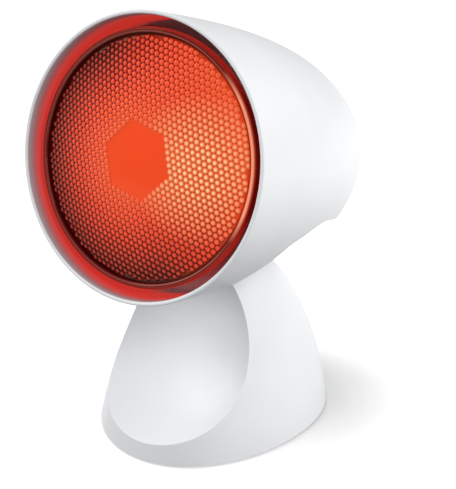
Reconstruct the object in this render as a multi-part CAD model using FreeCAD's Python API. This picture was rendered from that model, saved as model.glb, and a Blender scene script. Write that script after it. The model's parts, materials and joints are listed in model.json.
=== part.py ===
import FreeCAD, Part
import math
import os

# Table-top infrared heat lamp: a tilting hood with one reflector bulb, on a weighted foot.
# Millimetres, +Z up, the lamp faces -Y. The origin is on the table, under the middle of the
# lamp's width and depth.
# Pieces of the head and the bulb are drawn along the hood's own axis: Y runs from the mouth
# (Y = 0) to the tail, Z is up from the axis. placed_head() then tilts them about the hinge.

os.makedirs("parts", exist_ok=True)
V = FreeCAD.Vector

# ---- foot ----
FOOT_HALF_WIDTH = 60.7        # egg-shaped plan: half width, and the reach to front and back
FOOT_FRONT = 79.8
FOOT_REAR = 59.8
FOOT_SIDE_TOP = 150.4         # height at which the side curve would close, and its power
FOOT_SIDE_POWER = 1.194
FOOT_CREST = 113.2            # height at which front and back curves close, and their power
FOOT_DEPTH_POWER = 2.39
FOOT_LEAN = 0.144             # the section's middle first moves back, then forward
FOOT_SWEEP = 0.26
FOOT_BLUNT = 1.2              # the ridge is cut off this far below
FOOT_TOP = FOOT_CREST - FOOT_BLUNT
FOOT_SECTIONS = (0.13, 0.27, 0.4, 0.54, 0.67, 0.79, 0.88, 0.955, 1.0)   # shares of FOOT_TOP
FOOT_WALL = 2.6
RUBBER_SHOWING = 1.2          # the shell stands this far off the table
SCOOP_RADIUS = 58.1           # barrel that scoops out the front: middle radius, long curve
SCOOP_BARREL = 100.0
SCOOP_Y = -80.1               # its axis, from the foot's middle
SCOOP_Z = 69.0

# ---- hinge ----
HINGE_Y = -11.0               # from the foot's middle
HINGE_UNDER_CREST = 12.7      # the tongue's knuckle stays under the crest
HINGE_Z = FOOT_CREST - HINGE_UNDER_CREST
HINGE_BEHIND_MOUTH = 73.2     # the same axis, in the head
HINGE_BELOW_AXIS = 43.2
TILT = 12.5                   # mouth up, degrees
TILT_DOWN = 15.0              # travel either way from there
TILT_UP = 30.0
BOLT_R = 2.5
BOLT_HEX = 4.6                # head and nut, across corners / 2
BOLT_HEAD = 3.5
NUT_THICK = 4.0
BUSH_WALL = 1.5
KNUCKLE_R = 9.5
KNUCKLE_HALF = 8.0
ARM_HALF = 6.5                # the tongue's arm, at the hinge
ARM_SPREAD = 4.0              # and how much wider it gets by the hood's axis
WASHER_R = 7.5
WASHER_THICK = 1.2
SPRING_THICK = 1.0
RIB_THICK = 2.5
RIB_START = 78.0              # height where the foot's two hinge ribs start
RUN_GAP = 0.3                 # between pieces that move past each other
PIN_GAP = 0.05                # radial, on the hinge bolt
SLOT_GAP = 1.0                # beside and around the knuckle, in the foot
BOLT_ROOM = 1.0               # round the bolt's head and nut
BOLT_PAST_NUT = 1.0

# ---- bulb: reflector lamp, 121 mm across, 136 mm long, E27 cap ----
BULB_R = 60.5
BULB_LENGTH = 136.0
BULB_RIM_BACK = 6.85          # rim plane behind the mouth
LENS_RISE = 6.0
LENS_THICK = 3.2
LENS_R = 56.6
RIM_RING = 2.9                # width of the fused glass rim
RIM_BAND = 3.0                # its depth
RIM_GROOVE = 0.8              # between the rim and the lens
GLASS = 2.4
NECK_R = 20.0
DISH_DEPTH = 55.0             # rim to neck
NECK_END = 80.0
NECK_LOW_R = 13.4
CAP_R = 13.1
CAP_LENGTH = 23.5
CAP_SHEET = 0.5
CAP_TAPER = 3.0
INSULATOR = 3.0
INSULATOR_R = 7.0
TIP_R = 5.0
TIP_HIGH = 1.4
TIP_END_R = 3.5
FILAMENT_R = 8.0
FILAMENT_WIRE = 0.7
FILAMENT_GAP = 60.0           # left open between the leads, degrees
LEAD_R = 0.5
STEM_R = 4.0
STEM_TOP = 70.0
STEM_FLARE = 9.0
HEX_ACROSS = 30.5             # smooth hexagon in the middle of the lens, across flats
HEX_STEP = 0.25
HEX_TURN = 15.0               # as the bulb stands when it is screwed home, degrees

# ---- hood ----
MOUTH_GAP = 5.0               # air all round the bulb's rim
HOOD_WALL = 2.0
HOOD_R = BULB_R + MOUTH_GAP + HOOD_WALL
HOOD_LENGTH = 195.0
HOOD_POWER = 3.0              # the outline's powers: straight sides, round tail
HOOD_TAIL_POWER = 1.7
LIP_ROUND = 0.8
FLOOR_THICK = 2.2
FLOOR_SEAM = 0.2
# corners of the cut-away's side outline: distance behind the mouth, drop below the axis,
# and the radius of the bend there
FLOOR_TAIL = (200.0, 35.3, 0)
FLOOR_HIGH = (85.0, 24.7, 45)
FLOOR_BEND = (55.0, 34.6, 12)
FLOOR_FOOT = (38.8, 51.4, 15)
FLOOR_LOW = (38.8, 80.0, 0)
VENT_SLOT = 3.0
VENT_PITCH = 8.0
TAIL_VENTS = 5
TAIL_VENT_REACH = 27.0
FLOOR_VENTS = 6
FLOOR_VENT_FIRST = 108.0
FLOOR_VENT_LENGTH = 18.0
FLOOR_VENT_X = 22.0
BOSS_ROWS = (66.0, 122.0)     # floor screws, behind the mouth
BOSS_REACH = 12.0
BOSS_TALL = 9.0
SCREW_R = 1.6
SCREW_HEAD_R = 3.1
SCREW_HEAD = 1.6
SCREW_DEEP = 6.5

# ---- lampholder ----
HOLDER_R = 20.5
HOLDER_REAR_R = 17.5
HOLDER_LENGTH = 46.0
HOLDER_LEAD = 3.5             # its front stands this far ahead of the cap's edge
HOLDER_FLARE = 2.0            # its mouth is this much wider, to just behind that edge
FLARE_PAST_EDGE = 1.0
HOLDER_SHOULDER = 28.0
HOLDER_BACK_WALL = 6.0
SLEEVE_GAP = 0.35             # round the bulb's cap
SLEEVE_FIT = 0.2              # and round the sleeve
SLEEVE_SHEET = 0.5
SLEEVE_LENGTH = 24.0
SLEEVE_BEHIND_EDGE = 1.2
STRIP = 0.5                   # contact strip
BRACKET = 1.5                 # bracket sheet
BRACKET_HALF = 11.0
BRACKET_FOOT = 14.0
BRACKET_TOP = 14.0
HOLDER_SCREW_X = 8.0
SHIELD = 0.8                  # heat shield sheet
SHIELD_HALF = 30.0
SHIELD_FLANGE = 3.2
SHIELD_RUN = (50.0, 103.0)
RIVET_R = 1.6
RIVET_HEAD = 1.0
RIVET_X = 24.0
RIVET_BEHIND = 98.0

# ---- foot inside ----
PLATE_THICK = 3.0
PLATE_SEAM = 0.2
BALLAST_THICK = 7.0
BALLAST_MARGIN = 16.0
BALLAST_GAP = 1.0
POST_R = 4.2
# places in the foot's plan, as shares of its half width and of its reach to front or back
POSTS = ((0.63, 0.4), (0.56, -0.55))
BALLAST_SCREWS = ((0.0, 0.37), (0.0, -0.48))
FEET = ((0.61, 0.13), (0.43, -0.73))
RUBBER_R = 6.0
RUBBER_SUNK = 0.8
GLAND_Z = 15.0
GLAND_BORE = 3.6
GLAND_NECK = 5.0
GLAND_FLANGE = 7.5
GLAND_OUT = 2.5

PAST = 1.0                    # cutters run this far past what they cut


# ---------- small tools ----------
def save(name, shape):
    shape.exportStep("parts/" + name + ".step")
    solids = shape.Solids
    print(name, len(solids), "solid(s)", round(sum(s.Volume for s in solids) / 1000, 2), "cm3")


def group(shapes):
    return Part.makeCompound(shapes)


def rod(radius, start, end):
    run = end - start
    return Part.makeCylinder(radius, run.Length, start, run)


def tube(outer, inner, start, end):
    return rod(outer, start, end).cut(rod(inner, start, end))


def box(low, high):
    size = high - low
    return Part.makeBox(size.x, size.y, size.z, low)


def turned(points):
    # a ring or disc about the hood's axis, from its (radius, distance) outline
    outline = Part.makePolygon([V(r, y, 0) for r, y in points + points[:1]])
    return Part.Face(outline).revolve(V(0, 0, 0), V(0, 1, 0), 360)


def turned_edges(edges):
    return Part.Face(Part.Wire(Part.__sortEdges__(edges))).revolve(V(0, 0, 0), V(0, 1, 0), 360)


def line(start, end):
    return Part.LineSegment(start, end).toShape()


def spline(points):
    curve = Part.BSplineCurve()
    curve.interpolate(points)
    return curve.toShape()


def rounded_line(corners):
    # a side outline in the plane X = 0: straight runs joined by tangent arcs
    points = [V(0, behind, -drop) for behind, drop, _ in corners]
    edges = []
    last = points[0]
    for i in range(1, len(points) - 1):
        back = (points[i - 1] - points[i]).normalize()
        ahead = (points[i + 1] - points[i]).normalize()
        half = back.getAngle(ahead) / 2
        radius = corners[i][2]
        run = radius / math.tan(half)
        start = points[i] + back * run
        end = points[i] + ahead * run
        inward = (back + ahead).normalize()
        middle = points[i] + inward * (radius / math.sin(half) - radius)
        edges.append(line(last, start))
        edges.append(Part.Arc(start, middle, end).toShape())
        last = end
    edges.append(line(last, points[-1]))
    return Part.Wire(edges)


def slab(wire_or_points, half):
    # a side outline made solid from X = -half to X = half
    outline = wire_or_points
    if isinstance(outline, list):
        outline = Part.makePolygon(outline + outline[:1])
    flat = Part.Face(outline)
    flat.translate(V(-half, 0, 0))
    return flat.extrude(V(2 * half, 0, 0))


# ---------- where things stand ----------
def hood_stations():
    # distances behind the mouth, closer together towards the tail
    count = 12
    return [HOOD_LENGTH * math.sin(math.pi / 2 * i / count) for i in range(count)]


def hood_radius(behind):
    return HOOD_R * (1 - (behind / HOOD_LENGTH) ** HOOD_POWER) ** (1 / HOOD_TAIL_POWER)


def foot_middle():
    # puts the middle of the lamp's depth, hood lip to hood tail, over the origin
    turn = math.radians(TILT)
    lip = HINGE_BEHIND_MOUTH * math.cos(turn) + (HOOD_R - HINGE_BELOW_AXIS) * math.sin(turn)
    tail = 0
    for behind in hood_stations():
        back = (behind - HINGE_BEHIND_MOUTH) * math.cos(turn)
        tail = max(tail, back + (hood_radius(behind) + HINGE_BELOW_AXIS) * math.sin(turn))
    return (lip - tail) / 2 - HINGE_Y


FOOT_Y = foot_middle()
HINGE = V(0, FOOT_Y + HINGE_Y, HINGE_Z)


def placed_head(shape):
    # from the hood's own axis to the standing lamp
    shape = shape.copy()
    shape.translate(V(0, -HINGE_BEHIND_MOUTH, HINGE_BELOW_AXIS))
    shape.rotate(V(0, 0, 0), V(1, 0, 0), -TILT)
    shape.translate(HINGE)
    return shape


def placed_foot(shape):
    shape = shape.copy()
    shape.translate(V(0, FOOT_Y, 0))
    return shape


# ---------- hood ----------
def hood_slope(behind):
    part = behind / HOOD_LENGTH
    rate = HOOD_R * HOOD_POWER / (HOOD_TAIL_POWER * HOOD_LENGTH) * part ** (HOOD_POWER - 1)
    return rate * (1 - part ** HOOD_POWER) ** (1 / HOOD_TAIL_POWER - 1)


def hood_form(inset, front):
    # the hood's outline, moved in by inset, turned into a solid that starts at Y = front
    outline = [V(HOOD_R - inset, front, 0)] if front < 0 else []
    for behind in hood_stations():
        slope = hood_slope(behind)
        shift = inset / math.hypot(1, slope)
        outline.append(V(hood_radius(behind) - shift, behind - shift * slope, 0))
    tail = V(0, HOOD_LENGTH - inset, 0)
    curve = Part.BSplineCurve()
    curve.interpolate(outline + [tail], InitialTangent=V(0, 1, 0), FinalTangent=V(-1, 0, 0))
    start = V(0, outline[0].y, 0)
    return turned_edges([line(start, outline[0]), curve.toShape(), line(tail, start)])


def floor_line():
    return rounded_line([FLOOR_TAIL, FLOOR_HIGH, FLOOR_BEND, FLOOR_FOOT, FLOOR_LOW])


def cut_away(rise=0.0):
    # everything under the floor line, or under a line that runs this far above it
    wire = floor_line()
    if rise:
        wire = wire.makeOffset2D(rise, 0, False, True)
    points = [v.Point for v in wire.Vertexes]
    tail = max(points, key=lambda p: p.y)
    low = min(points, key=lambda p: p.z)
    closing = [line(low, V(0, tail.y, low.z)), line(V(0, tail.y, low.z), tail)]
    return slab(Part.Wire(Part.__sortEdges__(wire.Edges + closing)), 2 * HOOD_R)


def floor_strip(thickness, rise=0.0):
    # a sheet that follows the floor line on its upper side
    wire = floor_line()
    if rise:
        wire = wire.makeOffset2D(rise, 0, False, True)
    strip = wire.makeOffset2D(thickness, 0, True, True)
    strip.translate(V(-2 * HOOD_R, 0, 0))
    return strip.extrude(V(4 * HOOD_R, 0, 0))


def on_floor(x, behind):
    # a point of the floor's lower face, and the way up from it
    ahead, rear = (FLOOR_BEND, FLOOR_HIGH) if behind < FLOOR_HIGH[0] else (FLOOR_HIGH, FLOOR_TAIL)
    slope = (rear[1] - ahead[1]) / (rear[0] - ahead[0])
    drop = ahead[1] + slope * (behind - ahead[0])
    return V(x, behind, -drop), V(0, slope, 1).normalize()


def floor_screw_places():
    places = []
    for behind in BOSS_ROWS:
        spot, _ = on_floor(0, behind)
        wall = math.sqrt((hood_radius(behind) - HOOD_WALL) ** 2 - spot.z ** 2)
        places += [on_floor(side * (wall - BOSS_REACH / 2), behind) for side in (-1, 1)]
    return places


def rivet_places():
    return [on_floor(side * RIVET_X, RIVET_BEHIND) for side in (-1, 1)]


def bracket_screw_places():
    behind = holder_front() + HOLDER_LENGTH - BRACKET_FOOT / 2
    return [on_floor(side * BRACKET_HALF / 2, behind) for side in (-1, 1)]


def screw(place, deep=SCREW_DEEP):
    # a flat-headed screw: its head against the place, its shank along the place's way
    spot, way = place
    return rod(SCREW_HEAD_R, spot - way * SCREW_HEAD, spot).fuse(rod(SCREW_R, spot, spot + way * deep))


def hole(place, start, end, radius=SCREW_R):
    spot, way = place
    return rod(radius, spot + way * start, spot + way * end)


def slot_along_x(length, width, place, reach):
    # a round-ended cutter along X, through a wall at the place
    spot, way = place
    half = (length - width) / 2
    side = way.cross(V(1, 0, 0)) * (width / 2)
    start = spot - way * reach
    left = start - V(half, 0, 0)
    right = start + V(half, 0, 0)
    corners = [left - side, right - side, right + side, left + side]
    middle = Part.Face(Part.makePolygon(corners + corners[:1])).extrude(way * (2 * reach))
    return middle.fuse([rod(width / 2, end, end + way * (2 * reach)) for end in (left, right)])


def tail_vents():
    slots = []
    for i in range(TAIL_VENTS):
        height = (i - (TAIL_VENTS - 1) / 2) * VENT_PITCH
        length = 2 * math.sqrt(TAIL_VENT_REACH ** 2 - height ** 2)
        place = (V(0, HOOD_LENGTH, height), V(0, 1, 0))
        slots.append(slot_along_x(length, VENT_SLOT, place, HOOD_LENGTH / 4))
    return slots


def floor_vents():
    slots = []
    for i in range(FLOOR_VENTS):
        for side in (-1, 1):
            place = on_floor(side * FLOOR_VENT_X, FLOOR_VENT_FIRST + i * VENT_PITCH)
            slots.append(slot_along_x(FLOOR_VENT_LENGTH, VENT_SLOT, place, 2 * FLOOR_THICK))
    return slots


def hood_shell():
    outer = hood_form(0, 0)
    shell = outer.cut(hood_form(HOOD_WALL, -LIP_ROUND))
    lip = [e for e in shell.Edges if e.BoundBox.YMax < 0.01]
    shell = shell.makeFillet(LIP_ROUND, lip).cut(cut_away()).cut(tail_vents())
    bosses = []
    for spot, _ in floor_screw_places():
        side = math.copysign(1, spot.x)
        ends = sorted((spot.x - side * BOSS_REACH / 2, spot.x + side * BOSS_REACH))
        low = V(ends[0], spot.y - POST_R, spot.z - FLOOR_THICK)
        high = V(ends[1], spot.y + POST_R, spot.z + FLOOR_THICK + BOSS_TALL)
        bosses.append(box(low, high).common(outer).cut(cut_away(FLOOR_THICK)))
    holes = [hole(place, 0, FLOOR_THICK + SCREW_DEEP) for place in floor_screw_places()]
    return shell.fuse(bosses).cut(holes)


def knuckle_at(radius, half):
    center = V(0, HINGE_BEHIND_MOUTH, -HINGE_BELOW_AXIS)
    return rod(radius, center - V(half, 0, 0), center + V(half, 0, 0))


def hinge_arm(grow):
    # the tongue's arm, from the hinge up to the hood's axis, grown all round
    near = V(0, ARM_HALF + grow, 0)
    far = near + V(0, ARM_SPREAD, 0)
    low = V(0, HINGE_BEHIND_MOUTH, -HINGE_BELOW_AXIS)
    high = V(0, HINGE_BEHIND_MOUTH, 0)
    return slab([low - near, low + near, high + far, high - far], KNUCKLE_HALF + grow)


def hood_floor():
    # closes the cut-away; the hinge tongue hangs from it
    panel = floor_strip(FLOOR_THICK).common(hood_form(HOOD_WALL + FLOOR_SEAM, 0))
    tongue = hinge_arm(0).fuse(knuckle_at(KNUCKLE_R, KNUCKLE_HALF)).common(cut_away())
    panel = panel.fuse(tongue)
    panel = panel.cut(knuckle_at(BOLT_R + PIN_GAP + BUSH_WALL, 2 * KNUCKLE_HALF))
    holes = [hole(place, 0, 2 * FLOOR_THICK) for place in floor_screw_places() + bracket_screw_places()]
    holes += [hole(place, 0, 2 * FLOOR_THICK, RIVET_R) for place in rivet_places()]
    return panel.cut(floor_vents() + holes)


def floor_screws():
    return group([screw(place, FLOOR_THICK + SCREW_DEEP) for place in floor_screw_places()])


def heat_shield():
    # aluminium sheet that lies on the floor under the bulb, with a flange along each side
    zone = box(V(-SHIELD_HALF, SHIELD_RUN[0], -HOOD_R), V(SHIELD_HALF, SHIELD_RUN[1], 0))
    sheet = floor_strip(SHIELD, FLOOR_THICK).common(zone)
    rib = floor_strip(SHIELD_FLANGE, FLOOR_THICK).common(zone)
    rib = rib.cut(box(V(SHIELD - SHIELD_HALF, 0, -HOOD_R), V(SHIELD_HALF - SHIELD, HOOD_LENGTH, 0)))
    holes = [hole(place, 0, 3 * FLOOR_THICK, RIVET_R) for place in rivet_places()]
    return sheet.fuse(rib).cut(holes)


def shield_rivets():
    rivets = []
    for place in rivet_places():
        top = FLOOR_THICK + SHIELD
        heads = [hole(place, -RIVET_HEAD, 0, 2 * RIVET_R), hole(place, top, top + RIVET_HEAD, 2 * RIVET_R)]
        rivets.append(hole(place, 0, top, RIVET_R).fuse(heads))
    return group(rivets)


# ---------- hinge pieces of the head ----------
def hinge_bush():
    bore = BOLT_R + PIN_GAP
    return knuckle_at(bore + BUSH_WALL, KNUCKLE_HALF).cut(knuckle_at(bore, 2 * KNUCKLE_HALF))


def friction_washers():
    both = knuckle_at(WASHER_R, KNUCKLE_HALF + WASHER_THICK).cut(knuckle_at(WASHER_R + PAST, KNUCKLE_HALF))
    return both.cut(knuckle_at(BOLT_R + PIN_GAP, 2 * KNUCKLE_HALF))


# ---------- bulb ----------
def cap_start():
    # distances in the bulb are counted back from its rim plane
    return BULB_LENGTH - LENS_RISE - TIP_HIGH - INSULATOR - CAP_LENGTH


def at_rim(shape):
    shape.translate(V(0, BULB_RIM_BACK, 0))
    return shape


def dome(rise, radius, back):
    # an arc from the axis out to the radius, bulging forward by rise
    ball = (radius ** 2 + rise ** 2) / (2 * rise)
    half = math.asin(radius / ball) / 2
    middle = V(ball * math.sin(half), back + ball - rise - ball * math.cos(half), 0)
    return Part.Arc(V(0, back - rise, 0), middle, V(radius, back, 0)).toShape()


def bulb_lens():
    groove = BULB_R - RIM_RING
    front = dome(LENS_RISE, LENS_R, 0)
    inner = dome(LENS_RISE - LENS_THICK + RIM_BAND, groove, RIM_BAND)
    ring_top = V(BULB_R - RIM_RING / 2, -RIM_RING / 2, 0)
    ring = Part.Arc(V(groove, 0, 0), ring_top, V(BULB_R, 0, 0)).toShape()
    chain = [V(LENS_R, 0, 0), V(LENS_R, RIM_GROOVE, 0), V(groove, RIM_GROOVE, 0), V(groove, 0, 0)]
    sides = [line(a, b) for a, b in zip(chain, chain[1:])]
    band = [V(BULB_R, 0, 0), V(BULB_R, RIM_BAND, 0), V(groove, RIM_BAND, 0)]
    sides += [line(a, b) for a, b in zip(band, band[1:])]
    sides.append(line(V(0, LENS_THICK - LENS_RISE, 0), V(0, -LENS_RISE, 0)))
    lens = turned_edges([front, ring, inner] + sides)
    corner = HEX_ACROSS / math.sqrt(3)
    angles = [math.radians(90 + HEX_TURN + 60 * i) for i in range(6)]
    points = [V(corner * math.cos(a), -LENS_RISE - PAST, corner * math.sin(a)) for a in angles]
    prism = Part.Face(Part.makePolygon(points + points[:1])).extrude(V(0, LENS_THICK, 0))
    raised = lens.copy()
    raised.translate(V(0, -HEX_STEP, 0))
    return at_rim(lens.fuse(prism.common(raised)))


def dish_radius(back):
    # a parabola from the rim band to the neck
    part = (back - RIM_BAND) / (DISH_DEPTH - RIM_BAND)
    return math.sqrt(BULB_R ** 2 + (NECK_R ** 2 - BULB_R ** 2) * part)


def dish_edge(inset):
    count = 6
    backs = [RIM_BAND + (DISH_DEPTH - RIM_BAND) * (i / count) for i in range(count + 1)]
    return [V(dish_radius(b) - inset, b, 0) for b in backs]


def bulb_reflector():
    # glass dish, neck and skirt down to the cap
    outer = dish_edge(0)
    inner = dish_edge(GLASS)
    down = [outer[-1], V(NECK_R, NECK_END, 0), V(NECK_LOW_R, cap_start(), 0)]
    up = [V(NECK_LOW_R - GLASS, cap_start(), 0), V(NECK_R - GLASS, NECK_END, 0), inner[-1]]
    walls = down + up
    edges = [line(a, b) for a, b in zip(walls, walls[1:])] + [line(inner[0], outer[0])]
    return at_rim(turned_edges(edges + [spline(outer), spline(inner)]))


def focus():
    # the parabola's focus, where the filament stands
    focal = (BULB_R ** 2 - NECK_R ** 2) / (DISH_DEPTH - RIM_BAND) / 4
    return DISH_DEPTH + NECK_R ** 2 / (4 * focal) - focal


def bulb_filament():
    coil = Part.makeTorus(FILAMENT_R, FILAMENT_WIRE, V(0, 0, 0), V(0, 0, 1), 0, 360, 360 - FILAMENT_GAP)
    coil.rotate(V(0, 0, 0), V(0, 0, 1), FILAMENT_GAP / 2 - 90)
    coil.rotate(V(0, 0, 0), V(1, 0, 0), -90)
    coil.translate(V(0, focus(), 0))
    return at_rim(coil)


def filament_leads():
    leads = []
    angle = math.radians(FILAMENT_GAP / 2)
    for side in (-1, 1):
        across = V(side * FILAMENT_R * math.sin(angle), 0, -FILAMENT_R * math.cos(angle))
        welded = across + V(0, focus() + FILAMENT_WIRE + LEAD_R, 0)
        leads.append(rod(LEAD_R, welded, V(side * STEM_R / 2, STEM_TOP - LEAD_R, 0)))
    return at_rim(group(leads))


def filament_stem():
    # glass mount, flared out to where it is sealed into the neck
    end = cap_start()
    sealed = NECK_LOW_R - GLASS
    tip = [(0, STEM_TOP), (STEM_R, STEM_TOP)]
    return at_rim(turned(tip + [(STEM_R, end - STEM_FLARE), (sealed, end), (0, end)]))


def bulb_cap():
    start = cap_start()
    end = start + CAP_LENGTH
    taper = end - CAP_TAPER
    inner = CAP_R - CAP_SHEET
    rim = INSULATOR_R
    outside = [(inner, start), (CAP_R, start), (CAP_R, taper), (rim, end)]
    return at_rim(turned(outside + [(rim - CAP_SHEET, end), (inner, taper)]))


def bulb_insulator():
    start = cap_start() + CAP_LENGTH
    end = start + INSULATOR
    return at_rim(turned([(0, start), (INSULATOR_R, start), (TIP_R, end), (0, end)]))


def bulb_contact():
    end = BULB_LENGTH - LENS_RISE
    start = end - TIP_HIGH
    return at_rim(turned([(0, start), (TIP_R, start), (TIP_END_R, end), (0, end)]))


# ---------- lampholder ----------
def holder_front():
    return BULB_RIM_BACK + cap_start() - HOLDER_LEAD


def holder_bore():
    return CAP_R + SLEEVE_GAP + SLEEVE_SHEET


def lampholder_body():
    front = holder_front()
    rear = front + HOLDER_LENGTH
    floor = rear - HOLDER_BACK_WALL
    bore = holder_bore() + SLEEVE_FIT
    mouth = bore + HOLDER_FLARE
    flare = front + HOLDER_LEAD + FLARE_PAST_EDGE
    shoulder = front + HOLDER_SHOULDER
    step = HOLDER_R - HOLDER_REAR_R
    points = [(mouth, front), (HOLDER_R, front), (HOLDER_R, shoulder), (HOLDER_REAR_R, shoulder + step)]
    points += [(HOLDER_REAR_R, rear), (STEM_R, rear), (STEM_R, floor)]
    points += [(bore, floor), (bore, flare), (mouth, flare)]
    holes = [hole(place, -SCREW_DEEP, SCREW_DEEP) for place in holder_screw_places()]
    return turned(points).cut(holes)


def lampholder_sleeve():
    start = holder_front() + HOLDER_LEAD + SLEEVE_BEHIND_EDGE
    return tube(holder_bore(), holder_bore() - SLEEVE_SHEET, V(0, start, 0), V(0, start + SLEEVE_LENGTH, 0))


def lampholder_contact():
    # a bent strip on the bottom of the holder that reaches up to the bulb's tip
    wall = holder_front() + HOLDER_LENGTH - HOLDER_BACK_WALL
    tip = BULB_RIM_BACK + BULB_LENGTH - LENS_RISE + RUN_GAP
    low = TIP_R - holder_bore()
    inner = wall - STRIP
    outline = [(wall, low), (wall, -TIP_R), (inner, -TIP_R), (inner, low + 2 * STRIP)]
    outline += [(tip + STRIP, -TIP_R), (tip + STRIP, TIP_R), (tip, TIP_R), (tip, -TIP_R - STRIP)]
    outline.append((inner - STRIP, low))
    return slab([V(0, y, z) for y, z in outline], TIP_R / 2)


def holder_screw_places():
    rear = holder_front() + HOLDER_LENGTH + BRACKET
    return [(V(side * HOLDER_SCREW_X, rear, 0), V(0, -1, 0)) for side in (-1, 1)]


def lampholder_bracket():
    rear = holder_front() + HOLDER_LENGTH
    zone = box(V(-BRACKET_HALF, rear + BRACKET - BRACKET_FOOT, -HOOD_R), V(BRACKET_HALF, rear + BRACKET, 0))
    foot = floor_strip(BRACKET, FLOOR_THICK).common(zone)
    spot, _ = on_floor(0, rear)
    bottom = spot.z + FLOOR_THICK + BRACKET / 2
    upright = box(V(-BRACKET_HALF, rear, bottom), V(BRACKET_HALF, rear + BRACKET, BRACKET_TOP))
    cord_hole = rod(STEM_R, V(0, rear - PAST, 0), V(0, rear + BRACKET + PAST, 0))
    holes = [hole(place, -PAST, BRACKET + PAST) for place in holder_screw_places()]
    holes += [hole(place, 0, FLOOR_THICK + 2 * BRACKET) for place in bracket_screw_places()]
    return foot.fuse(upright).cut([cord_hole] + holes)


def bracket_screws():
    return group([screw(place, FLOOR_THICK + BRACKET) for place in bracket_screw_places()])


def lampholder_screws():
    return group([screw(place) for place in holder_screw_places()])


# ---------- foot ----------
def foot_wire(height, inset):
    # an egg: two half ellipses that share their width
    width = FOOT_HALF_WIDTH * (1 - (height / FOOT_SIDE_TOP) ** FOOT_SIDE_POWER) - inset
    depth = 1 - (height / FOOT_CREST) ** FOOT_DEPTH_POWER
    middle = height * (FOOT_LEAN - FOOT_SWEEP * height / FOOT_CREST)
    halves = []
    for reach, way in ((FOOT_FRONT, -1), (FOOT_REAR, 1)):
        half = Part.Arc(V(-way, 0, 0), V(0, way, 0), V(way, 0, 0)).toShape()
        squash = FreeCAD.Matrix()
        squash.scale(V(width, reach * depth - inset, 1))
        half = half.transformGeometry(squash)
        half.translate(V(0, middle, height))
        halves.append(half)
    return Part.Wire(halves)


def foot_loft(heights, inset):
    return Part.makeLoft([foot_wire(h, inset) for h in heights], True, False)


def scoop(grow=0.0):
    # a barrel lying across the front
    reach = SCOOP_RADIUS + grow
    half = FOOT_HALF_WIDTH
    sag = SCOOP_BARREL - math.sqrt(SCOOP_BARREL ** 2 - half ** 2)
    arc = Part.Arc(V(-half, reach - sag, 0), V(0, reach, 0), V(half, reach - sag, 0)).toShape()
    ends = [line(V(-half, 0, 0), V(-half, reach - sag, 0)), line(V(half, reach - sag, 0), V(half, 0, 0))]
    outline = Part.Wire(Part.__sortEdges__([arc, line(V(half, 0, 0), V(-half, 0, 0))] + ends))
    barrel = Part.Face(outline).revolve(V(0, 0, 0), V(1, 0, 0), 360)
    barrel.translate(V(0, SCOOP_Y, SCOOP_Z))
    return barrel


def foot_form():
    return foot_loft([RUBBER_SHOWING] + [share * FOOT_TOP for share in FOOT_SECTIONS], 0)


def foot_outer():
    return foot_form().cut(scoop())


def foot_cavity():
    heights = [0] + [share * FOOT_TOP for share in FOOT_SECTIONS[:-1]]
    return foot_loft(heights, FOOT_WALL).cut(scoop(FOOT_WALL))


def in_plan(places, sides=(-1, 1)):
    spots = []
    for across, along in places:
        reach = FOOT_REAR if along > 0 else FOOT_FRONT
        spots += [V(side * across * FOOT_HALF_WIDTH, along * reach, 0) for side in sides]
    return spots


def plate_top():
    return RUBBER_SHOWING + PLATE_THICK


def swing_room():
    # the space that the tongue sweeps in the top of the foot
    room = [placed_head(knuckle_at(KNUCKLE_R + SLOT_GAP, rib_inner()))]
    count = 3
    for i in range(count + 1):
        arm = placed_head(hinge_arm(SLOT_GAP))
        arm.rotate(HINGE, V(-1, 0, 0), -TILT_DOWN + (TILT_UP + TILT_DOWN) * i / count)
        room.append(arm)
    return room


def rib_inner():
    return KNUCKLE_HALF + WASHER_THICK + RUN_GAP


def rib_outer():
    return rib_inner() + RIB_THICK


def foot_shell():
    outer = foot_outer()
    shell = outer.cut(foot_cavity())
    slabs = []
    for side in (-1, 1):
        ends = sorted((side * rib_inner(), side * rib_outer()))
        slabs.append(box(V(ends[0], -FOOT_FRONT, RIB_START), V(ends[1], FOOT_REAR, FOOT_TOP)).common(outer))
    for spot in in_plan(POSTS):
        slabs.append(rod(POST_R, spot + V(0, 0, plate_top()), spot + V(0, 0, HINGE_Z)).common(outer))
    shell = shell.fuse(slabs)
    holes = [rod(SCREW_R, p, p + V(0, 0, plate_top() + SCREW_DEEP)) for p in in_plan(POSTS)]
    holes.append(rod(GLAND_NECK, V(0, FOOT_REAR / 2, GLAND_Z), V(0, 2 * FOOT_REAR, GLAND_Z)))
    shell = placed_foot(shell.cut(holes)).cut(swing_room())
    inner = V(rib_outer(), 0, 0)
    outer = V(nut_end(), 0, 0)
    wide = BOLT_HEX + BOLT_ROOM
    room = [rod(wide, HINGE + inner, HINGE + outer), rod(wide, HINGE - outer, HINGE - inner)]
    return shell.cut(room + [rod(BOLT_R, HINGE - inner, HINGE + inner)])


def nut_end():
    return rib_outer() + SPRING_THICK + NUT_THICK + BOLT_PAST_NUT


def hexagon(start, end):
    points = []
    for i in range(6):
        angle = math.radians(60 * i)
        points.append(HINGE + V(start, BOLT_HEX * math.cos(angle), BOLT_HEX * math.sin(angle)))
    return Part.Face(Part.makePolygon(points + points[:1])).extrude(V(end - start, 0, 0))


def hinge_bolt():
    head = hexagon(-rib_outer() - BOLT_HEAD, -rib_outer())
    return head.fuse(rod(BOLT_R, HINGE - V(rib_outer(), 0, 0), HINGE + V(nut_end(), 0, 0)))


def hinge_nut():
    start = rib_outer() + SPRING_THICK
    return hexagon(start, start + NUT_THICK).cut(rod(BOLT_R, HINGE, HINGE + V(2 * start, 0, 0)))


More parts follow.
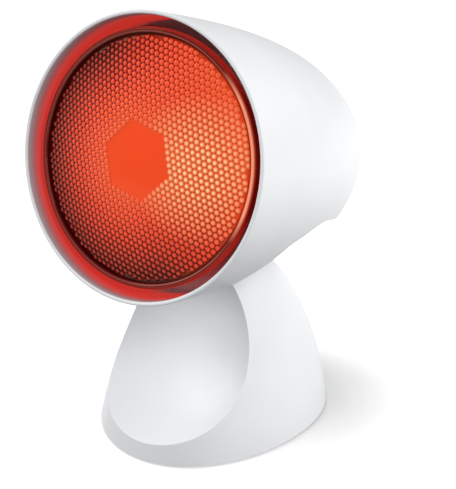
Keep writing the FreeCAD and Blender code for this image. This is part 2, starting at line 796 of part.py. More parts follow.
def spring_washer():
    start = HINGE + V(rib_outer(), 0, 0)
    return tube(BOLT_HEX, BOLT_R, start, start + V(SPRING_THICK, 0, 0))


def base_plate():
    plate = foot_loft([RUBBER_SHOWING, plate_top()], FOOT_WALL + PLATE_SEAM)
    seats = in_plan(POSTS) + in_plan(BALLAST_SCREWS, [1])
    cuts = [rod(SCREW_R, p, p + V(0, 0, plate_top() + PAST)) for p in seats]
    cuts += [rod(SCREW_HEAD_R, p, p + V(0, 0, RUBBER_SHOWING + SCREW_HEAD)) for p in seats]
    cuts += [rod(RUBBER_R, p, p + V(0, 0, RUBBER_SHOWING + RUBBER_SUNK)) for p in in_plan(FEET)]
    return placed_foot(plate.cut(cuts))


def screws_up(places, top):
    # screws from below, heads sunk in the base plate
    low = V(0, 0, RUBBER_SHOWING + SCREW_HEAD)
    return placed_foot(group([screw((p + low, V(0, 0, 1)), top - low.z) for p in places]))


def plate_screws():
    return screws_up(in_plan(POSTS), plate_top() + SCREW_DEEP)


def ballast_screws():
    return screws_up(in_plan(BALLAST_SCREWS, [1]), plate_top() + BALLAST_THICK)


def ballast_weight():
    weight = foot_loft([plate_top(), plate_top() + BALLAST_THICK], BALLAST_MARGIN)
    top = plate_top() + BALLAST_THICK + PAST
    cuts = [rod(POST_R + BALLAST_GAP, p, p + V(0, 0, top)) for p in in_plan(POSTS)]
    cuts += [rod(SCREW_R, p, p + V(0, 0, top)) for p in in_plan(BALLAST_SCREWS, [1])]
    return placed_foot(weight.cut(cuts + [scoop(FOOT_WALL + BALLAST_GAP)]))


def rubber_feet():
    height = RUBBER_SHOWING + RUBBER_SUNK
    return placed_foot(group([rod(RUBBER_R, p, p + V(0, 0, height)) for p in in_plan(FEET)]))


def cable_gland():
    # a flanged bush in the back wall, at the foot of the shell
    spot = V(0, foot_wire(GLAND_Z, 0).BoundBox.YMax, GLAND_Z)
    flange = rod(GLAND_FLANGE, spot - V(0, GLAND_OUT, 0), spot + V(0, GLAND_OUT, 0)).cut(foot_form())
    neck = rod(GLAND_NECK, spot - V(0, 3 * FOOT_WALL, 0), spot)
    bore = rod(GLAND_BORE, V(0, 0, GLAND_Z), spot + V(0, FOOT_REAR, 0))
    return placed_foot(flange.fuse(neck).cut(bore))


# ---------- every piece ----------
HEAD = {
    "hood_shell": hood_shell, "hood_floor": hood_floor, "floor_screws": floor_screws,
    "heat_shield": heat_shield, "shield_rivets": shield_rivets, "hinge_bush": hinge_bush,
    "friction_washers": friction_washers, "lampholder_body": lampholder_body,
    "lampholder_sleeve": lampholder_sleeve, "lampholder_contact": lampholder_contact,
    "lampholder_bracket": lampholder_bracket, "lampholder_screws": lampholder_screws,
    "bracket_screws": bracket_screws, "bulb_lens": bulb_lens, "bulb_reflector": bulb_reflector,
    "bulb_filament": bulb_filament, "filament_leads": filament_leads, "filament_stem": filament_stem,
    "bulb_cap": bulb_cap, "bulb_insulator": bulb_insulator, "bulb_contact": bulb_contact,
}
FOOT = {
    "foot_shell": foot_shell, "base_plate": base_plate, "plate_screws": plate_screws,
    "ballast_weight": ballast_weight, "ballast_screws": ballast_screws, "rubber_feet": rubber_feet,
    "cable_gland": cable_gland, "hinge_bolt": hinge_bolt, "hinge_nut": hinge_nut,
    "spring_washer": spring_washer,
}
for name, make in HEAD.items():
    save(name, placed_head(make()))
for name, make in FOOT.items():
    save(name, make())
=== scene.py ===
import bpy
import json
import math
from mathutils import Matrix, Vector


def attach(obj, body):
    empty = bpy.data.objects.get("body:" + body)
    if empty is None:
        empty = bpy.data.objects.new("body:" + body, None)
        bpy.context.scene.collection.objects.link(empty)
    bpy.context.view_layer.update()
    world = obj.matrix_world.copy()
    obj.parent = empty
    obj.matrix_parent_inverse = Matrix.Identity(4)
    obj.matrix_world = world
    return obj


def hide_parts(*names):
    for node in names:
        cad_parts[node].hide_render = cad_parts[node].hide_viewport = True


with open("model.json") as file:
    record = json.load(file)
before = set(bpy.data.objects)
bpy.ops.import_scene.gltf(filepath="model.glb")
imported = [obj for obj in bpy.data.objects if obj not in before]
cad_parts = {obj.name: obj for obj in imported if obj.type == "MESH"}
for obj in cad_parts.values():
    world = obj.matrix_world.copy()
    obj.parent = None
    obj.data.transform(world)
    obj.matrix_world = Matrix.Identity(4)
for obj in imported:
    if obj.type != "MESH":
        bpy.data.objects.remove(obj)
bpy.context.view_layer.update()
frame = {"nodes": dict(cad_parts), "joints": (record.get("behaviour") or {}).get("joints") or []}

mm = 0.001
scene = bpy.context.scene
joints = {joint["name"]: joint for joint in frame["joints"]}


# ---- small tools ----
def deselectAll():
    if bpy.context.mode != "OBJECT":
        bpy.ops.object.mode_set(mode="OBJECT")
    bpy.ops.object.select_all(action="DESELECT")


def active(name):
    piece = bpy.context.object
    piece.name = name
    piece.data.name = name
    return piece


def takeUp(piece):
    deselectAll()
    piece.select_set(True)
    bpy.context.view_layer.objects.active = piece


def placeMesh(piece, matrix):
    # the place goes into the mesh, the object stays at the origin
    piece.data.transform(matrix @ piece.matrix_world)
    piece.matrix_world = Matrix.Identity(4)


def tidyMesh(piece, distance=0.001 * mm):
    takeUp(piece)
    bpy.ops.object.mode_set(mode="EDIT")
    bpy.ops.mesh.select_all(action="SELECT")
    bpy.ops.mesh.remove_doubles(threshold=distance)
    bpy.ops.mesh.normals_make_consistent(inside=False)
    bpy.ops.object.mode_set(mode="OBJECT")


def smooth(piece, degrees):
    takeUp(piece)
    bpy.ops.object.shade_smooth_by_angle(angle=math.radians(degrees))


def turnedPiece(name, outline, steps):
    # a ring is extruded, widened and raised along the outline of (radius, height) pairs, in mm
    deselectAll()
    radius, height = outline[0]
    bpy.ops.mesh.primitive_circle_add(vertices=steps, radius=radius * mm, location=(0, 0, height * mm))
    piece = active(name)
    bpy.ops.object.mode_set(mode="EDIT")
    bpy.ops.mesh.select_all(action="SELECT")
    for nextRadius, nextHeight in outline[1:]:
        bpy.ops.mesh.extrude_edges_move()
        widen = nextRadius / radius
        bpy.ops.transform.resize(value=(widen, widen, 1))
        bpy.ops.transform.translate(value=(0, 0, (nextHeight - height) * mm))
        radius, height = nextRadius, nextHeight
    bpy.ops.object.mode_set(mode="OBJECT")
    return piece


# ---- shader nodes ----
def linear(hexColour):
    # sRGB to linear light
    shares = [int(hexColour[i:i + 2], 16) / 255 for i in (1, 3, 5)]
    lights = [share / 12.92 if share <= 0.04045 else ((share + 0.055) / 1.055) ** 2.4 for share in shares]
    return lights + [1.0]


def inputOf(made, key):
    # i0, i1 and so on count the inputs, any other key is an input's name with _ for its spaces
    if key[0] == "i" and key[1:].isdigit():
        return made.inputs[int(key[1:])]
    return made.inputs[key.replace("_", " ")]


def node(tree, kind, settings=None, **links):
    # one node: its settings by name, its inputs as numbers, colours or other nodes' sockets
    made = tree.nodes.new(kind)
    for key, value in (settings or {}).items():
        setattr(made, key, value)
    for key, value in links.items():
        socket = inputOf(made, key)
        if isinstance(value, bpy.types.NodeSocket):
            tree.links.new(value, socket)
        else:
            socket.default_value = value
    return made


def newMaterial(name):
    material = bpy.data.materials.new(name)
    material.use_nodes = True
    tree = material.node_tree
    return material, tree, tree.nodes["Principled BSDF"]


def place(tree, scale=(1, 1, 1), turn=(0, 0, 0), centre=(0, 0, 0)):
    coordinates = node(tree, "ShaderNodeTexCoord").outputs["Object"]
    mapping = node(tree, "ShaderNodeMapping", {"vector_type": "POINT"}, Vector=coordinates,
                   Location=centre, Rotation=turn, Scale=scale)
    return mapping.outputs["Vector"]


def speckle(tree, size, detail, vector=None):
    # noise whose grains are about this many millimetres
    noise = node(tree, "ShaderNodeTexNoise", None, Vector=vector or place(tree),
                 Scale=1 / (size * mm), Detail=detail)
    return noise.outputs["Fac"]


def colourRamp(tree, factor, stops):
    ramp = node(tree, "ShaderNodeValToRGB", None, Fac=factor)
    elements = ramp.color_ramp.elements
    while len(elements) < len(stops):
        elements.new(0.5)
    for element, (position, hexColour) in zip(elements, stops):
        element.position = position
        element.color = linear(hexColour)
    return ramp.outputs["Color"]


def span(tree, value, low, high, toLow=0, toHigh=1):
    made = node(tree, "ShaderNodeMapRange", None, Value=value, From_Min=low, From_Max=high,
                To_Min=toLow, To_Max=toHigh)
    return made.outputs["Result"]


def times(tree, first, second):
    return node(tree, "ShaderNodeMath", {"operation": "MULTIPLY"}, i0=first, i1=second).outputs["Value"]


def mixed(tree, share, first, second):
    return node(tree, "ShaderNodeMix", {"data_type": "RGBA"}, i0=share, i6=first, i7=second).outputs[2]


def vectorMath(tree, operation, first, second, output):
    made = node(tree, "ShaderNodeVectorMath", {"operation": operation}, i0=first, i1=second)
    return made.outputs[output]


def bump(tree, shader, height, strength, depth):
    made = node(tree, "ShaderNodeBump", None, Strength=strength, Distance=depth * mm, Height=height)
    tree.links.new(made.outputs["Normal"], shader.inputs["Normal"])


# ---- where the bulb is ----
bulbAxis = Vector(joints["bulb_turn"]["axis"]).normalized()
mouth = Vector(joints["bulb_turn"]["pos_m"])


def fromMouth(behind):
    # x to the right, y up the bulb's face, z out of the mouth
    side = Vector((1, 0, 0))
    up = bulbAxis.cross(side)
    turn = Matrix((side, up, bulbAxis)).transposed().to_4x4()
    return Matrix.Translation(mouth - bulbAxis * behind * mm) @ turn


def mouthVector(tree, behind):
    # Object coordinates turned so that z runs out along the bulb's axis, in millimetres
    inverse = fromMouth(behind).inverted()
    return place(tree, (1 / mm,) * 3, inverse.to_euler(), [value / mm for value in inverse.translation])


def radiusFrom(tree, vector):
    flat = vectorMath(tree, "MULTIPLY", vector, (1, 1, 0), "Vector")
    return node(tree, "ShaderNodeVectorMath", {"operation": "LENGTH"}, i0=flat).outputs["Value"]


def heightFrom(tree, vector):
    return node(tree, "ShaderNodeSeparateXYZ", None, Vector=vector).outputs["Z"]


# ---- bulb lens ----
bulb = {
    # the face, in mm: the fused rim is a half round ring outside the groove
    "radius": 60.5, "rimBehind": 6.85, "rise": 6.0, "lensRadius": 56.6, "ring": 2.9, "ringDepth": 3.0,
    "grooveSide": 0.1, "grooveDepth": 1.1, "hexAcross": 30.5,
    # the beads, in mm, with their inset as a share of the pitch
    "beadPitch": 2.9, "beadHeight": 0.62, "beadInset": 0.15, "beadWeld": 0.02,
    # angles in degrees, and how finely the face is cut; the first ring shrinks to a point
    "faceTurn": 15.0, "beadTurn": 30, "beadCrease": 42, "glassCrease": 40,
    "steps": 160, "domeRings": 10, "firstRing": 0.02, "ringCuts": 8, "beadCuts": 2,
}


def domeHeight(radius):
    # between the beads, where the dome is lower than its full rise by the height of a bead
    ball = (bulb["lensRadius"] ** 2 + bulb["rise"] ** 2) / (2 * bulb["rise"])
    return math.sqrt(ball ** 2 - radius ** 2) - (ball - bulb["rise"]) - bulb["beadHeight"]


def lensOutline():
    # from the middle of the face out over the fused rim and back behind it
    rings, first = bulb["domeRings"], bulb["firstRing"]
    radii = [bulb["lensRadius"] * (i + first) / (rings + first) for i in range(rings + 1)]
    outline = [(radius, domeHeight(radius)) for radius in radii]
    inner = bulb["radius"] - bulb["ring"]
    side, groove = bulb["grooveSide"], -bulb["grooveDepth"]
    outline += [(bulb["lensRadius"] + side, groove), (inner - side, groove)]
    half = bulb["ring"] / 2
    for i in range(bulb["ringCuts"] + 1):
        angle = math.pi * i / bulb["ringCuts"]
        outline.append((inner + half - half * math.cos(angle), half * math.sin(angle)))
    return outline + [(bulb["radius"], -bulb["ringDepth"]), (inner, -bulb["ringDepth"])]


def lensGlass():
    outline = lensOutline()
    piece = turnedPiece("lensGlass", list(reversed(outline)), bulb["steps"])
    takeUp(piece)
    bpy.ops.object.mode_set(mode="EDIT")
    bpy.ops.mesh.select_all(action="DESELECT")
    bpy.ops.object.mode_set(mode="OBJECT")
    middle = (outline[0][0] + outline[1][0]) / 2 * mm
    for vertex in piece.data.vertices:
        vertex.select = vertex.co.xy.length < middle
    bpy.ops.object.mode_set(mode="EDIT")
    bpy.ops.mesh.merge(type="CENTER")
    bpy.ops.object.mode_set(mode="OBJECT")
    tidyMesh(piece)
    smooth(piece, bulb["glassCrease"])
    return piece


def beadTile():
    # one bead of the pressed face: a hexagon, raised in the middle by a parabola
    corner = bulb["beadPitch"] / math.sqrt(3) * mm
    deselectAll()
    bpy.ops.mesh.primitive_circle_add(vertices=6, radius=corner, fill_type="TRIFAN")
    tile = active("beadTile")
    bpy.ops.object.mode_set(mode="EDIT")
    bpy.ops.mesh.select_all(action="SELECT")
    bpy.ops.mesh.subdivide(number_cuts=bulb["beadCuts"])
    turn = math.radians(bulb["beadTurn"])
    bpy.ops.transform.rotate(value=turn, orient_axis="Z", center_override=(0, 0, 0))
    bpy.ops.object.mode_set(mode="OBJECT")
    for vertex in tile.data.vertices:
        vertex.co.z = bulb["beadHeight"] * mm * (1 - (vertex.co.xy.length / corner) ** 2)
    return tile


def inHexagon(x, y, across):
    sides = (0, math.pi / 3, -math.pi / 3)
    return all(abs(x * math.cos(side) + y * math.sin(side)) < across / 2 for side in sides)


def beadPlaces():
    # columns of beads, every other one half a pitch higher, with the hexagon left bare
    pitch = bulb["beadPitch"]
    column = pitch * math.sqrt(3) / 2
    reach = bulb["lensRadius"] - pitch * bulb["beadInset"]
    count = int(bulb["lensRadius"] / column) + 1
    places = []
    for i in range(-count, count + 1):
        for j in range(-count, count + 1):
            x, y = i * column, (j + (i % 2) / 2) * pitch
            if math.hypot(x, y) < reach and not inHexagon(x, y, bulb["hexAcross"]):
                places.append((x, y))
    return places


def beadedFace():
    tile = beadTile()
    points = [vertex.co.copy() for vertex in tile.data.vertices]
    faces = [list(face.vertices) for face in tile.data.polygons]
    bpy.data.objects.remove(tile)
    mesh = bpy.data.meshes.new("lensBeads")
    places = beadPlaces()
    allPoints, allFaces, cornerHeights = [], [], []
    for x, y in places:
        start = len(allPoints)
        allPoints += [point + Vector((x * mm, y * mm, 0)) for point in points]
        allFaces += [[start + index for index in face] for face in faces]
        cornerHeights += [points[index].z for face in faces for index in face]
    mesh.from_pydata(allPoints, [], allFaces)
    # how high each face corner lies in its own bead: 0 at the corners, 1 on the crown
    shares = mesh.attributes.new("beadShare", "FLOAT", "CORNER")
    for share, height in zip(shares.data, cornerHeights):
        share.value = height / (bulb["beadHeight"] * mm)
    piece = bpy.data.objects.new("lensBeads", mesh)
    scene.collection.objects.link(piece)
    tidyMesh(piece, bulb["beadWeld"] * mm)
    # the flat sheet of beads is drawn in at its edge and laid over the dome
    for vertex in mesh.vertices:
        reach = vertex.co.xy.length
        radius = min(reach, bulb["lensRadius"] * mm)
        vertex.co.xy *= radius / reach
        vertex.co.z += domeHeight(radius / mm) * mm
    smooth(piece, bulb["beadCrease"])
    print("beads on the lens:", len(places), "faces:", len(mesh.polygons))
    return piece


ruby = {
    # glow is a painted glow: the glass gives off a share of its painted colour as light
    "glow": 0.3, "rough": 0.1, "shine": 0.3, "warmShine": "#FFB080", "ior": 1.47,
    # painted shade: the face is painted bright to the right and a little up; over these spans, in mm, it
    # is painted darker away from that side and out from the middle
    "paintedLightSide": (0.92, 0.4, 0), "paintedShadeAwaySpan": (54, -4), "paintedShadeOutSpan": (17, 55),
    # the smooth glass, along shares of the radius: hexagon, groove and fused rim, in the patch where the
    # rim is lit and elsewhere; the lit patch carries a cream painted highlight on the rim, and the dark
    # groove and dull rim are painted shade
    "smoothPaintedHighlight": [
        (0.0, "#F04A22"), (0.9, "#E84E26"), (0.937, "#D8401E"), (0.943, "#5A0806"), (0.952, "#6A0C08"),
        (0.958, "#D2482E"), (0.97, "#F9A482"), (0.982, "#F9A482"), (0.99, "#CC4630"), (1.0, "#4A0606"),
    ],
    "insidePaintedShade": [(0.0, "#F04A22"), (0.35, "#EC4820"), (0.6, "#8A1608"), (0.9, "#5A0804")],
    "insideWarm": [(0.0, "#F04A22"), (0.9, "#E64E2A"), (0.937, "#C83A1C"), (0.945, "#4A0606")],
    "rimPaintedShade": [
        (0.952, "#300204"), (0.962, "#6A1C1A"), (0.968, "#8C4240"), (0.976, "#4A0808"),
        (0.986, "#8A221C"), (1.0, "#A02A22"),
    ],
    "rimMiddle": (46, 8), "rimReach": (36, 34), "rimEdge": (0.75, 1.1),
    # the beads, from the painted bright side to the dark one; the tops and the gaps between them darken
    # across the face as painted shade
    "beadTopPaintedShade": [(0.0, "#EC5A32"), (0.3, "#EE5030"), (0.6, "#E2422A"), (1.0, "#A8302A")],
    "beadGapPaintedShade": [(0.0, "#A82008"), (0.25, "#8E1204"), (0.5, "#720803"), (1.0, "#300101")],
    # shares of a bead's height between which the gap's painted shade turns into the top's colour
    "gapBright": (0.08, 0.46), "gapDark": (0.52, 0.96),
    # painted light: over this patch the beads are painted lighter, as if the dish sent most light back
    # there, and the crown of each bead carries a cream painted highlight
    "litMiddle": (33, 0), "litReach": (31, 30), "litEdge": (0.3, 1.15),
    "paintedLightGap": "#B43814", "paintedLightTop": "#EE7844", "paintedCrownHighlight": "#FFCE9C", "crown": (0.66, 0.9),
}


def inPatch(tree, vector, middle, reach, edge):
    # 1 in the middle of an ellipse on the face, 0 beyond its edge
    placed = node(tree, "ShaderNodeMapping", {"vector_type": "TEXTURE"}, Vector=vector,
                  Location=(*middle, 0), Scale=(*reach, 1)).outputs["Vector"]
    return span(tree, radiusFrom(tree, placed), *edge, 1, 0)


def beadColour(tree, vector, dark):
    share = node(tree, "ShaderNodeAttribute", {"attribute_name": "beadShare"}).outputs["Fac"]
    low, high = (span(tree, dark, 0, 1, bright, dull)
                 for bright, dull in zip(ruby["gapBright"], ruby["gapDark"]))
    top = span(tree, share, low, high)
    # painted shade: the gaps between the beads are painted dark, and tops and gaps darken towards the far
    # edge
    gapPaintedShade = colourRamp(tree, dark, ruby["beadGapPaintedShade"])
    body = mixed(tree, top, gapPaintedShade, colourRamp(tree, dark, ruby["beadTopPaintedShade"]))
    # painted light: inside this patch the beads are painted lighter, with a painted highlight on each
    # crown
    lit = inPatch(tree, vector, ruby["litMiddle"], ruby["litReach"], ruby["litEdge"])
    crown = span(tree, share, *ruby["crown"])
    bright = mixed(tree, top, linear(ruby["paintedLightGap"]), linear(ruby["paintedLightTop"]))
    bright = mixed(tree, crown, bright, linear(ruby["paintedCrownHighlight"]))
    return mixed(tree, lit, body, bright)


def smoothColour(tree, vector, radius, dark):
    out = span(tree, radius, 0, bulb["radius"])
    # painted shade on the groove and on the rim, with a thin painted reflection line, and the glass darker
    # towards the dark side; inside the rim patch a painted highlight lies on the rim
    warm = colourRamp(tree, out, ruby["insideWarm"] + ruby["rimPaintedShade"])
    dull = colourRamp(tree, out, ruby["insidePaintedShade"] + ruby["rimPaintedShade"])
    lit = inPatch(tree, vector, ruby["rimMiddle"], ruby["rimReach"], ruby["rimEdge"])
    return mixed(tree, lit, mixed(tree, dark, warm, dull), colourRamp(tree, out, ruby["smoothPaintedHighlight"]))


def rubyGlass(name, beaded):
    # pressed borosilicate, red all through, with the mirrored dish behind it; its light and shade are
    # painted: orange painted light where the dish would send light back, maroon painted shade down between
    # the beads and towards the edge that looks past it
    material, tree, shader = newMaterial(name)
    vector = mouthVector(tree, bulb["rimBehind"])
    radius = radiusFrom(tree, vector)
    along = vectorMath(tree, "DOT_PRODUCT", vector, ruby["paintedLightSide"], "Value")
    # painted shade: 0 near the middle on the painted bright side, growing to 1 away from that side and out
    # towards the edge
    dark = times(tree, span(tree, along, *ruby["paintedShadeAwaySpan"]), span(tree, radius, *ruby["paintedShadeOutSpan"]))
    body = beadColour(tree, vector, dark) if beaded else smoothColour(tree, vector, radius, dark)
    tree.links.new(body, shader.inputs["Base Color"])
    tree.links.new(body, shader.inputs["Emission Color"])
    # painted glow: the glass gives off its own painted colour as light, as if lit from within
    shader.inputs["Emission Strength"].default_value = ruby["glow"]
    shader.inputs["Roughness"].default_value = ruby["rough"]
    shader.inputs["Specular IOR Level"].default_value = ruby["shine"]
    shader.inputs["Specular Tint"].default_value = linear(ruby["warmShine"])
    shader.inputs["IOR"].default_value = ruby["ior"]
    return material


glass = lensGlass()
beads = beadedFace()
facePlace = fromMouth(bulb["rimBehind"]) @ Matrix.Rotation(math.radians(bulb["faceTurn"]), 4, "Z")
for piece, beaded in ((glass, False), (beads, True)):
    placeMesh(piece, facePlace)
    piece.data.materials.clear()
    piece.data.materials.append(rubyGlass("rubyGlassBeaded" if beaded else "rubyGlass", beaded))
    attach(piece, "bulb")
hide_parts("bulb_lens")
print("bulb lens made")


# ---- finishes of the other pieces ----
texture = {
    # shares of the noise at which a finish is wholly dark or smooth, and wholly light or rough
    "cloudShares": (0.35, 0.65), "grainShares": (0.3, 0.7),
    "cloudDetail": 2.0, "lineDetail": 3.0, "grainDetail": 4.0,
    # how far roughness strays from its middle, and how deep the relief of a bump is, in mm
    "plasticStray": (-0.04, 0.05), "metalStray": (-0.06, 0.06), "metalBump": 0.2,
    "plasticDepth": 0.02, "metalDepth": 0.02, "dullDepth": 0.03,
}


def twoTone(tree, noise, shares, settings):
    return colourRamp(tree, noise, list(zip(shares, (settings["dark"], settings["light"]))))


def unevenRough(tree, noise, middle, stray):
    return span(tree, noise, *texture["grainShares"], *(middle + step for step in stray))


def mouldedPolypropylene(name, settings):
    # injection moulded and slightly glossy: a clean white with a faint cool cast, softly uneven
    # from the steel it was pressed against
    material, tree, shader = newMaterial(name)
    cloud = speckle(tree, settings["cloud"], texture["cloudDetail"])
    tree.links.new(twoTone(tree, cloud, texture["cloudShares"], settings), shader.inputs["Base Color"])
    grain = speckle(tree, settings["grain"], texture["grainDetail"])
    rough = unevenRough(tree, grain, settings["rough"], texture["plasticStray"])
    tree.links.new(rough, shader.inputs["Roughness"])
    shader.inputs["IOR"].default_value = settings["ior"]
    shader.inputs["Coat Weight"].default_value = settings["coat"]
    shader.inputs["Coat Roughness"].default_value = settings["coatRough"]
    bump(tree, shader, grain, settings["bump"], texture["plasticDepth"])
    return material


def hoodPolypropylene(name, settings):
    # the same plastic; inside the mouth it has painted shade near the lip and the red light of the glass
    # beside it painted on deeper, as a painted reflection and a painted glow
    material = mouldedPolypropylene(name, settings)
    tree = material.node_tree
    shader = tree.nodes["Principled BSDF"]
    white = shader.inputs["Base Color"].links[0].from_socket
    vector = mouthVector(tree, 0)
    height = heightFrom(tree, vector)
    behind = span(tree, height, 0, -settings["paintedLightDepth"])
    share = span(tree, radiusFrom(tree, vector), *settings["wallEdge"])
    share = times(tree, share, span(tree, height, *settings["lipEdge"]))
    share = times(tree, share, span(tree, height, *settings["deepEdge"]))
    # painted shade near the lip and painted red light from the glass deeper in
    paintedShadeAndRedLight = colourRamp(tree, behind, settings["paintedShadeAndRedLight"])
    tree.links.new(mixed(tree, share, white, paintedShadeAndRedLight), shader.inputs["Base Color"])
    # painted glow: the wall gives off that red as light
    glow = mixed(tree, share, (0, 0, 0, 1), colourRamp(tree, behind, settings["glow"]))
    tree.links.new(glow, shader.inputs["Emission Color"])
    shader.inputs["Emission Strength"].default_value = 1.0
    return material


def plainMetal(name, settings):
    # sheet or turned metal: fine lines of the tool or the rolls, brighter where it was rubbed
    material, tree, shader = newMaterial(name)
    vector = place(tree, scale=settings.get("stretch", (1, 1, 1)))
    lines = speckle(tree, settings["grain"], texture["lineDetail"], vector)
    tree.links.new(twoTone(tree, lines, texture["grainShares"], settings), shader.inputs["Base Color"])
    shader.inputs["Metallic"].default_value = 1.0
    rough = unevenRough(tree, lines, settings["rough"], texture["metalStray"])
    tree.links.new(rough, shader.inputs["Roughness"])
    bump(tree, shader, lines, texture["metalBump"], texture["metalDepth"])
    return material


def dullSolid(name, settings):
    # rubber, ceramic, nylon, iron and black glass: one body colour with a fine grain
    material, tree, shader = newMaterial(name)
    grain = speckle(tree, settings["grain"], texture["grainDetail"])
    tree.links.new(twoTone(tree, grain, texture["grainShares"], settings), shader.inputs["Base Color"])
    shader.inputs["Roughness"].default_value = settings["rough"]
    shader.inputs["Coat Weight"].default_value = settings.get("coat", 0.0)
    bump(tree, shader, grain, settings["bump"], texture["dullDepth"])
    return material


def clearGlass(name, settings):
    # drawn lead glass of the bulb's mount: clear, with slow waves from the drawing
    material, tree, shader = newMaterial(name)
    waves = speckle(tree, settings["wave"], texture["lineDetail"])
    shader.inputs["Base Color"].default_value = linear(settings["colour"])
    shader.inputs["Transmission Weight"].default_value = 1.0
    shader.inputs["IOR"].default_value = settings["ior"]
    shader.inputs["Roughness"].default_value = settings["rough"]
    bump(tree, shader, waves, settings["bump"], settings["depth"])
    return material


# sizes of clouds, grains and waves in mm
whiteShell = {
    "cloud": 60, "grain": 0.35, "dark": "#F1F3F6", "light": "#F6F8FA", "rough": 0.42,
    "ior": 1.49, "coat": 0.06, "coatRough": 0.12, "bump": 0.06,
}
greyShell = dict(whiteShell, dark="#C9CCD0", light="#D2D5D8", rough=0.5, coat=0.0)
hoodShell = dict(
    whiteShell,
    # spans in mm over which the painted shade and painted red light fade in: across the wall, behind the
    # lip and deep inside
    wallEdge=(66.1, 65.6), lipEdge=(-0.3, -1.2), deepEdge=(-30, -23), paintedLightDepth=12.0,
    # greys near the lip are painted shade, the reds deeper in are painted red light from the glass
    paintedShadeAndRedLight=[(0.0, "#C8C8CA"), (0.2, "#B8B0B4"), (0.4, "#B08084"), (0.6, "#BC4A48"), (1.0, "#B8281E")],
    # a painted glow of the same red light
    glow=[(0.0, "#000000"), (0.2, "#200A0A"), (0.4, "#5A2224"), (0.65, "#A03430"), (1.0, "#B42C24")],
)
mirror = {"grain": 3, "dark": "#B9B4B0", "light": "#CFCBC7", "rough": 0.14}
zinc = {"grain": 0.6, "dark": "#A4A8AC", "light": "#C4C7CA", "rough": 0.36}
aluminium = {"grain": 0.5, "stretch": (1, 12, 1), "dark": "#B4B7BA", "light": "#D0D2D4", "rough": 0.3}
brass = {"grain": 0.5, "dark": "#B48A3C", "light": "#CFA556", "rough": 0.3}
solder = {"grain": 0.8, "dark": "#8E8E8C", "light": "#B8B7B2", "rough": 0.42}
tungsten = {"grain": 0.2, "dark": "#3A3A3D", "light": "#5C5C60", "rough": 0.4}
iron = {"grain": 0.7, "dark": "#2C2C2E", "light": "#454548", "rough": 0.72, "bump": 0.5}
steatite = {"grain": 1.2, "dark": "#E6E0D2", "light": "#F2EEE4", "rough": 0.22, "bump": 0.1, "coat": 0.5}
nylon = {"grain": 0.5, "dark": "#DEDACB", "light": "#ECE9DD", "rough": 0.45, "bump": 0.1}
vitrite = {"grain": 0.8, "dark": "#08080A", "light": "#141418", "rough": 0.12, "bump": 0.1, "coat": 0.6}
rubber = {"grain": 0.4, "dark": "#6C6D70", "light": "#7C7D80", "rough": 0.8, "bump": 0.3}
leadGlass = {"wave": 4, "colour": "#E9F0EC", "ior": 1.52, "rough": 0.02, "bump": 0.15, "depth": 0.05}

steelPieces = ["lampholder_bracket", "lampholder_screws", "bracket_screws", "floor_screws",
               "plate_screws", "ballast_screws", "hinge_bolt", "hinge_nut", "spring_washer"]
finishes = {
    "whitePolypropylene": (mouldedPolypropylene, whiteShell, ["hood_floor", "foot_shell"]),
    "whitePolypropyleneHoodPaintedLight": (hoodPolypropylene, hoodShell, ["hood_shell"]),
    "greyPolypropylene": (mouldedPolypropylene, greyShell, ["base_plate"]),
    "mirroredGlass": (plainMetal, mirror, ["bulb_reflector"]),
    "zincPlatedSteel": (plainMetal, zinc, steelPieces),
    "rolledAluminium": (plainMetal, aluminium, ["heat_shield", "shield_rivets", "bulb_cap"]),
    "pressedBrass": (plainMetal, brass, ["lampholder_sleeve", "lampholder_contact"]),
    "softSolder": (plainMetal, solder, ["bulb_contact"]),
    "tungstenCoil": (plainMetal, tungsten, ["bulb_filament", "filament_leads"]),
    "castIron": (dullSolid, iron, ["ballast_weight"]),
    "glazedSteatite": (dullSolid, steatite, ["lampholder_body"]),
    "naturalNylon": (dullSolid, nylon, ["hinge_bush", "friction_washers"]),
    "blackVitrite": (dullSolid, vitrite, ["bulb_insulator"]),
    "softRubber": (dullSolid, rubber, ["rubber_feet", "cable_gland"]),
    "drawnClearGlass": (clearGlass, leadGlass, ["filament_stem"]),
}


def dress(nodeName, material):
    piece = frame["nodes"][nodeName]
    if not piece.material_slots:
        piece.data.materials.append(material)
    for materialSlot in piece.material_slots:
        materialSlot.material = material


for finishName, (make, settings, nodeNames) in finishes.items():
    material = make(finishName, settings)
    for nodeName in nodeNames:
        dress(nodeName, material)
print("finishes set")


# ---- floor, lights and camera ----
studio = {
    "world": 0.38, "floorSize": 8.0, "floorRough": 0.6, "floorShine": 0.2,
    # the floor as it is seen, and as it throws light back on the lamp
    "floorColour": "#F2F2F2", "floorBounce": "#5C5C5C",
    # the floor's own glow, as (metres from a point behind and beside the foot, strength)
    "shadeFrom": (0.03, 0.005, 0), "glow": [(0.03, 0.0), (0.08, 0.45), (0.35, 1.0)],
    "aim": (0, -0.03, 0.13),
    "lights": {
        # name: place round the lamp (degrees from the front towards +X, degrees up, metres), size, watts
        "backPanel": (130, 24, 1.1, (0.6, 0.6), 5.2),
        "leftPanel": (-66, 30, 1.1, (0.8, 0.8), 6.8),
        "sideStrip": (55, 27, 1.1, (0.3, 0.6), 4.8),
    },
}


def seenBy(tree, otherRay):
    # 1 where the camera looks straight at it or by way of the other kind of ray
    rays = node(tree, "ShaderNodeLightPath")
    return node(tree, "ShaderNodeMath", {"operation": "MAXIMUM"}, i0=rays.outputs["Is Camera Ray"],
                i1=rays.outputs[otherRay]).outputs["Value"]


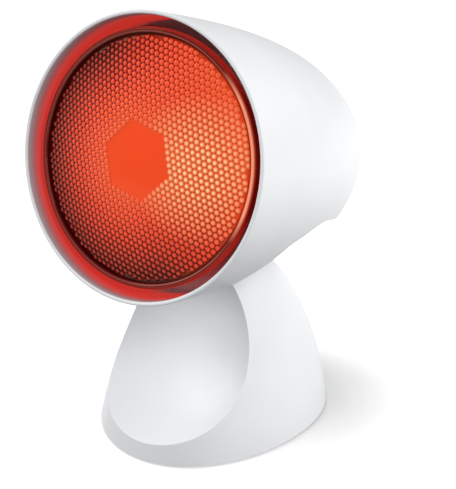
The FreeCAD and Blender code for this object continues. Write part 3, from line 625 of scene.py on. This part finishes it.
def paleFloor():
    deselectAll()
    bpy.ops.mesh.primitive_plane_add(size=studio["floorSize"], location=(0, 0, 0))
    floor = active("floor")
    material, tree, shader = newMaterial("pale floor")
    shader.inputs["Roughness"].default_value = studio["floorRough"]
    shader.inputs["Specular IOR Level"].default_value = studio["floorShine"]
    seen = seenBy(tree, "Is Glossy Ray")
    colour = mixed(tree, seen, linear(studio["floorBounce"]), linear(studio["floorColour"]))
    tree.links.new(colour, shader.inputs["Base Color"])
    # clean and white, but for where the lamp throws its shade behind and to the right of the foot
    away = vectorMath(tree, "DISTANCE", place(tree), studio["shadeFrom"], "Value")
    (near, low), (middle, half), (far, high) = studio["glow"]
    fade = node(tree, "ShaderNodeMath", {"operation": "ADD"}, i0=span(tree, away, near, middle, low, half),
                i1=span(tree, away, middle, far, 0, high - half)).outputs["Value"]
    glow = node(tree, "ShaderNodeEmission", None, Color=(1, 1, 1, 1), Strength=times(tree, seen, fade))
    both = node(tree, "ShaderNodeAddShader", None, i0=shader.outputs["BSDF"], i1=glow.outputs["Emission"])
    tree.links.new(both.outputs["Shader"], tree.nodes["Material Output"].inputs["Surface"])
    floor.data.materials.append(material)


def paleWorld():
    world = bpy.data.worlds.new("paleStudio")
    scene.world = world
    world.use_nodes = True
    tree = world.node_tree
    background = tree.nodes["Background"]
    background.inputs["Color"].default_value = (1, 1, 1, 1)
    strength = span(tree, seenBy(tree, "Is Transmission Ray"), 0, 1, studio["world"], 1)
    tree.links.new(strength, background.inputs["Strength"])


def panelLight(name, azimuth, height, distance, size, watts):
    turn, rise = math.radians(azimuth), math.radians(height)
    way = Vector((math.sin(turn) * math.cos(rise), -math.cos(turn) * math.cos(rise), math.sin(rise)))
    data = bpy.data.lights.new(name, "AREA")
    data.shape = "RECTANGLE"
    data.size, data.size_y = size
    data.energy = watts
    light = bpy.data.objects.new(name, data)
    light.location = Vector(studio["aim"]) + way * distance
    light.rotation_euler = way.to_track_quat("Z", "Y").to_euler()
    scene.collection.objects.link(light)


paleFloor()
paleWorld()
for name, values in studio["lights"].items():
    panelLight(name, *values)

# where the camera stands, in metres, the direction out of its back, and lens and sensor in mm
view = {
    "place": (0.25496, -0.41649, 0.28260), "back": (0.49082, -0.78823, 0.37120),
    "lens": 69.43, "sensor": 36, "near": 0.01,
}
cameraData = bpy.data.cameras.new("camera")
cameraData.lens = view["lens"]
cameraData.sensor_width = view["sensor"]
cameraData.clip_start = view["near"]
camera = bpy.data.objects.new("camera", cameraData)
camera.location = view["place"]
camera.rotation_mode = "QUATERNION"
camera.rotation_quaternion = Vector(view["back"]).to_track_quat("Z", "Y")
scene.collection.objects.link(camera)
scene.camera = camera
scene.view_settings.view_transform = "Standard"
print("stage set")
